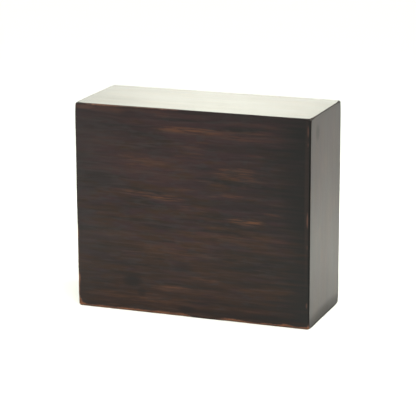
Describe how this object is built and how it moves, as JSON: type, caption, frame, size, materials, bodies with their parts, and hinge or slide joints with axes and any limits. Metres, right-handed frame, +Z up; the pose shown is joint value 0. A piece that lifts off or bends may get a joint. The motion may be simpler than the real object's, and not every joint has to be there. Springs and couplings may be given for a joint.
{
  "type": "cremation urn box",
  "caption": "Upright rectangular wooden box of mitred boards, hollow, filled from below and closed by a recessed base panel held with countersunk screws.",
  "frame": {"origin": "on the floor, under the middle of the box", "axes": "+Z up, the front faces -Y, +X to the right as seen from the front"},
  "size_m": [0.2502, 0.1004, 0.2139],
  "materials": {
    "stained_wood": "dark espresso stain under satin lacquer, rubbed through to orange-brown wood along the outer edges",
    "panel_wood": "the same dark stain, matt, with no lacquer",
    "screw_metal": "plain brass, slightly dulled"
  },
  "bodies": {
    "root": {"front_board": "stained_wood", "back_board": "stained_wood", "left_board": "stained_wood", "right_board": "stained_wood", "top_board": "stained_wood", "base_panel": "panel_wood", "base_screw_1": "screw_metal", "base_screw_2": "screw_metal", "base_screw_3": "screw_metal", "base_screw_4": "screw_metal"}
  },
  "joints": []
}
